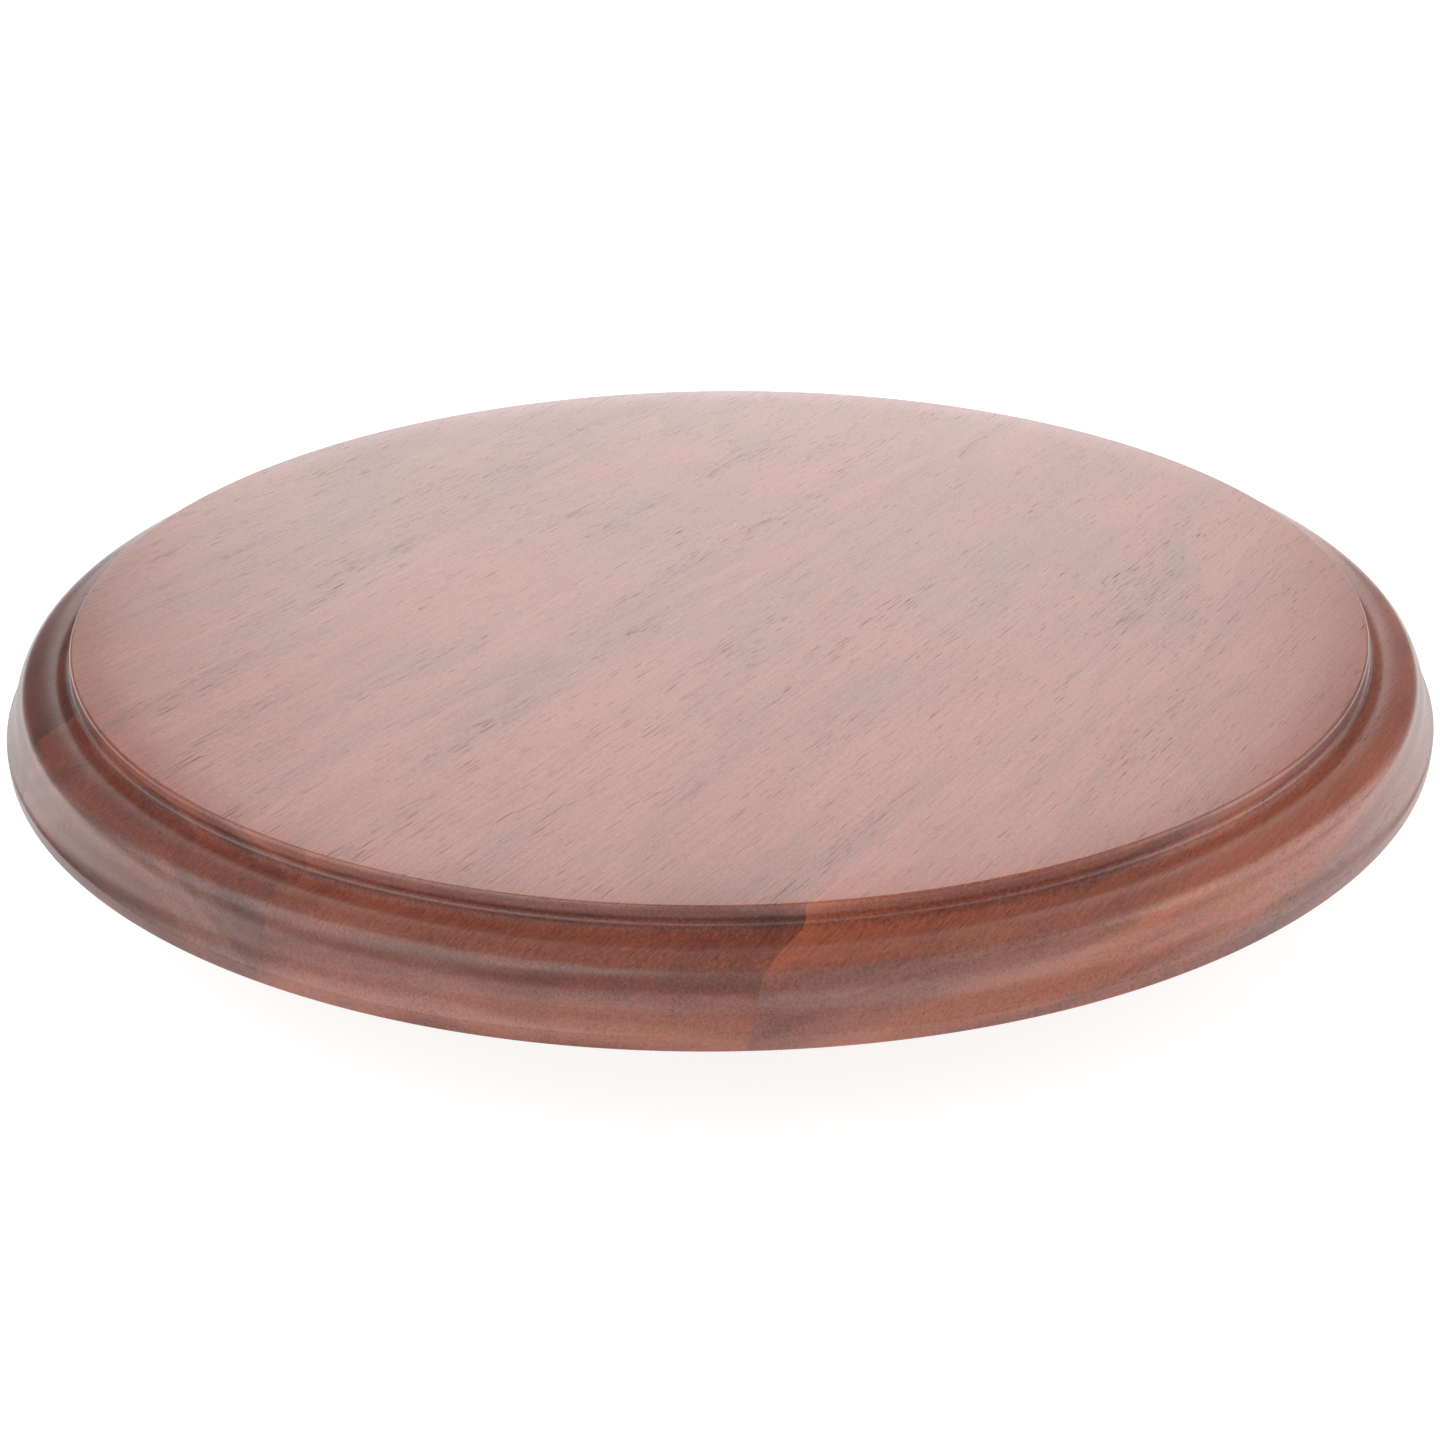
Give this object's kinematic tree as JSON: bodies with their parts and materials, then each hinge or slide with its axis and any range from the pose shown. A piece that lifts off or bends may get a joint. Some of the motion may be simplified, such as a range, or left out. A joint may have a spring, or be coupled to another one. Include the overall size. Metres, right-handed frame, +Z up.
{
  "type": "turntable display stand",
  "caption": "Round walnut board with a moulded edge that turns freely on a ball-bearing swivel over a smaller base board with rubber feet.",
  "frame": {"origin": "on the surface that the rubber feet stand on, on the axis that the top board turns about", "axes": "+Z up along the turning axis; +X towards the access hole in the base board; the swivel plates' sides are parallel to X and Y at rest"},
  "size_m": [0.3, 0.3, 0.0434],
  "materials": {
    "top_walnut": "satin lacquer over reddish walnut",
    "base_walnut": "satin lacquer over walnut",
    "plate_steel": "zinc-plated pressed sheet",
    "screw_steel": "zinc-plated",
    "ball_steel": "polished, lightly greased",
    "cage_nylon": "natural moulded nylon",
    "foot_rubber": "matt moulded"
  },
  "bodies": {
    "base": {"base_board": "base_walnut", "lower_plate": "plate_steel", "lower_plate_screw_1": "screw_steel", "lower_plate_screw_2": "screw_steel", "lower_plate_screw_3": "screw_steel", "lower_plate_screw_4": "screw_steel", "foot_1": "foot_rubber", "foot_2": "foot_rubber", "foot_3": "foot_rubber", "foot_4": "foot_rubber", "foot_screw_1": "screw_steel", "foot_screw_2": "screw_steel", "foot_screw_3": "screw_steel", "foot_screw_4": "screw_steel"},
    "cage": {"ball_cage": "cage_nylon"},
    "top": {"top_board": "top_walnut", "upper_plate": "plate_steel", "upper_plate_screw_1": "screw_steel", "upper_plate_screw_2": "screw_steel", "upper_plate_screw_3": "screw_steel", "upper_plate_screw_4": "screw_steel"},
    "ball_01": {"ball_01": "ball_steel"},
    "ball_02": {"ball_02": "ball_steel"},
    "ball_03": {"ball_03": "ball_steel"},
    "ball_04": {"ball_04": "ball_steel"},
    "ball_05": {"ball_05": "ball_steel"},
    "ball_06": {"ball_06": "ball_steel"},
    "ball_07": {"ball_07": "ball_steel"},
    "ball_08": {"ball_08": "ball_steel"},
    "ball_09": {"ball_09": "ball_steel"},
    "ball_10": {"ball_10": "ball_steel"},
    "ball_11": {"ball_11": "ball_steel"},
    "ball_12": {"ball_12": "ball_steel"},
    "ball_13": {"ball_13": "ball_steel"},
    "ball_14": {"ball_14": "ball_steel"},
    "ball_15": {"ball_15": "ball_steel"},
    "ball_16": {"ball_16": "ball_steel"},
    "ball_17": {"ball_17": "ball_steel"},
    "ball_18": {"ball_18": "ball_steel"},
    "ball_19": {"ball_19": "ball_steel"},
    "ball_20": {"ball_20": "ball_steel"},
    "ball_21": {"ball_21": "ball_steel"},
    "ball_22": {"ball_22": "ball_steel"},
    "ball_23": {"ball_23": "ball_steel"},
    "ball_24": {"ball_24": "ball_steel"}
  },
  "joints": [
    {"name": "top_spin", "type": "hinge", "parent": "base", "child": "top", "pos_m": [0, 0, 0.0206], "axis": [0, 0, 1], "continuous": true},
    {"name": "cage_spin", "type": "hinge", "parent": "base", "child": "cage", "pos_m": [0, 0, 0.0206], "axis": [0, 0, 1], "continuous": true},
    {"name": "ball_01_roll", "type": "hinge", "parent": "cage", "child": "ball_01", "pos_m": [0.057, 0, 0.0206], "axis": [1, 0, 0], "continuous": true},
    {"name": "ball_02_roll", "type": "hinge", "parent": "cage", "child": "ball_02", "pos_m": [0.05506, 0.01475, 0.0206], "axis": [0.9659, 0.2588, 0], "continuous": true},
    {"name": "ball_03_roll", "type": "hinge", "parent": "cage", "child": "ball_03", "pos_m": [0.04936, 0.0285, 0.0206], "axis": [0.866, 0.5, 0], "continuous": true},
    {"name": "ball_04_roll", "type": "hinge", "parent": "cage", "child": "ball_04", "pos_m": [0.04031, 0.04031, 0.0206], "axis": [0.7071, 0.7071, 0], "continuous": true},
    {"name": "ball_05_roll", "type": "hinge", "parent": "cage", "child": "ball_05", "pos_m": [0.0285, 0.04936, 0.0206], "axis": [0.5, 0.866, 0], "continuous": true},
    {"name": "ball_06_roll", "type": "hinge", "parent": "cage", "child": "ball_06", "pos_m": [0.01475, 0.05506, 0.0206], "axis": [0.2588, 0.9659, 0], "continuous": true},
    {"name": "ball_07_roll", "type": "hinge", "parent": "cage", "child": "ball_07", "pos_m": [0, 0.057, 0.0206], "axis": [0, 1, 0], "continuous": true},
    {"name": "ball_08_roll", "type": "hinge", "parent": "cage", "child": "ball_08", "pos_m": [-0.01475, 0.05506, 0.0206], "axis": [-0.2588, 0.9659, 0], "continuous": true},
    {"name": "ball_09_roll", "type": "hinge", "parent": "cage", "child": "ball_09", "pos_m": [-0.0285, 0.04936, 0.0206], "axis": [-0.5, 0.866, 0], "continuous": true},
    {"name": "ball_10_roll", "type": "hinge", "parent": "cage", "child": "ball_10", "pos_m": [-0.04031, 0.04031, 0.0206], "axis": [-0.7071, 0.7071, 0], "continuous": true},
    {"name": "ball_11_roll", "type": "hinge", "parent": "cage", "child": "ball_11", "pos_m": [-0.04936, 0.0285, 0.0206], "axis": [-0.866, 0.5, 0], "continuous": true},
    {"name": "ball_12_roll", "type": "hinge", "parent": "cage", "child": "ball_12", "pos_m": [-0.05506, 0.01475, 0.0206], "axis": [-0.9659, 0.2588, 0], "continuous": true},
    {"name": "ball_13_roll", "type": "hinge", "parent": "cage", "child": "ball_13", "pos_m": [-0.057, 0, 0.0206], "axis": [-1, 0, 0], "continuous": true},
    {"name": "ball_14_roll", "type": "hinge", "parent": "cage", "child": "ball_14", "pos_m": [-0.05506, -0.01475, 0.0206], "axis": [-0.9659, -0.2588, 0], "continuous": true},
    {"name": "ball_15_roll", "type": "hinge", "parent": "cage", "child": "ball_15", "pos_m": [-0.04936, -0.0285, 0.0206], "axis": [-0.866, -0.5, 0], "continuous": true},
    {"name": "ball_16_roll", "type": "hinge", "parent": "cage", "child": "ball_16", "pos_m": [-0.04031, -0.04031, 0.0206], "axis": [-0.7071, -0.7071, 0], "continuous": true},
    {"name": "ball_17_roll", "type": "hinge", "parent": "cage", "child": "ball_17", "pos_m": [-0.0285, -0.04936, 0.0206], "axis": [-0.5, -0.866, 0], "continuous": true},
    {"name": "ball_18_roll", "type": "hinge", "parent": "cage", "child": "ball_18", "pos_m": [-0.01475, -0.05506, 0.0206], "axis": [-0.2588, -0.9659, 0], "continuous": true},
    {"name": "ball_19_roll", "type": "hinge", "parent": "cage", "child": "ball_19", "pos_m": [0, -0.057, 0.0206], "axis": [0, -1, 0], "continuous": true},
    {"name": "ball_20_roll", "type": "hinge", "parent": "cage", "child": "ball_20", "pos_m": [0.01475, -0.05506, 0.0206], "axis": [0.2588, -0.9659, 0], "continuous": true},
    {"name": "ball_21_roll", "type": "hinge", "parent": "cage", "child": "ball_21", "pos_m": [0.0285, -0.04936, 0.0206], "axis": [0.5, -0.866, 0], "continuous": true},
    {"name": "ball_22_roll", "type": "hinge", "parent": "cage", "child": "ball_22", "pos_m": [0.04031, -0.04031, 0.0206], "axis": [0.7071, -0.7071, 0], "continuous": true},
    {"name": "ball_23_roll", "type": "hinge", "parent": "cage", "child": "ball_23", "pos_m": [0.04936, -0.0285, 0.0206], "axis": [0.866, -0.5, 0], "continuous": true},
    {"name": "ball_24_roll", "type": "hinge", "parent": "cage", "child": "ball_24", "pos_m": [0.05506, -0.01475, 0.0206], "axis": [0.9659, -0.2588, 0], "continuous": true}
  ],
  "couplings": [
    {"joint": "cage_spin", "follows": "top_spin", "ratio": 0.5},
    {"joint": "ball_01_roll", "follows": "top_spin", "ratio": -11.875},
    {"joint": "ball_02_roll", "follows": "top_spin", "ratio": -11.875},
    {"joint": "ball_03_roll", "follows": "top_spin", "ratio": -11.875},
    {"joint": "ball_04_roll", "follows": "top_spin", "ratio": -11.875},
    {"joint": "ball_05_roll", "follows": "top_spin", "ratio": -11.875},
    {"joint": "ball_06_roll", "follows": "top_spin", "ratio": -11.875},
    {"joint": "ball_07_roll", "follows": "top_spin", "ratio": -11.875},
    {"joint": "ball_08_roll", "follows": "top_spin", "ratio": -11.875},
    {"joint": "ball_09_roll", "follows": "top_spin", "ratio": -11.875},
    {"joint": "ball_10_roll", "follows": "top_spin", "ratio": -11.875},
    {"joint": "ball_11_roll", "follows": "top_spin", "ratio": -11.875},
    {"joint": "ball_12_roll", "follows": "top_spin", "ratio": -11.875},
    {"joint": "ball_13_roll", "follows": "top_spin", "ratio": -11.875},
    {"joint": "ball_14_roll", "follows": "top_spin", "ratio": -11.875},
    {"joint": "ball_15_roll", "follows": "top_spin", "ratio": -11.875},
    {"joint": "ball_16_roll", "follows": "top_spin", "ratio": -11.875},
    {"joint": "ball_17_roll", "follows": "top_spin", "ratio": -11.875},
    {"joint": "ball_18_roll", "follows": "top_spin", "ratio": -11.875},
    {"joint": "ball_19_roll", "follows": "top_spin", "ratio": -11.875},
    {"joint": "ball_20_roll", "follows": "top_spin", "ratio": -11.875},
    {"joint": "ball_21_roll", "follows": "top_spin", "ratio": -11.875},
    {"joint": "ball_22_roll", "follows": "top_spin", "ratio": -11.875},
    {"joint": "ball_23_roll", "follows": "top_spin", "ratio": -11.875},
    {"joint": "ball_24_roll", "follows": "top_spin", "ratio": -11.875}
  ]
}
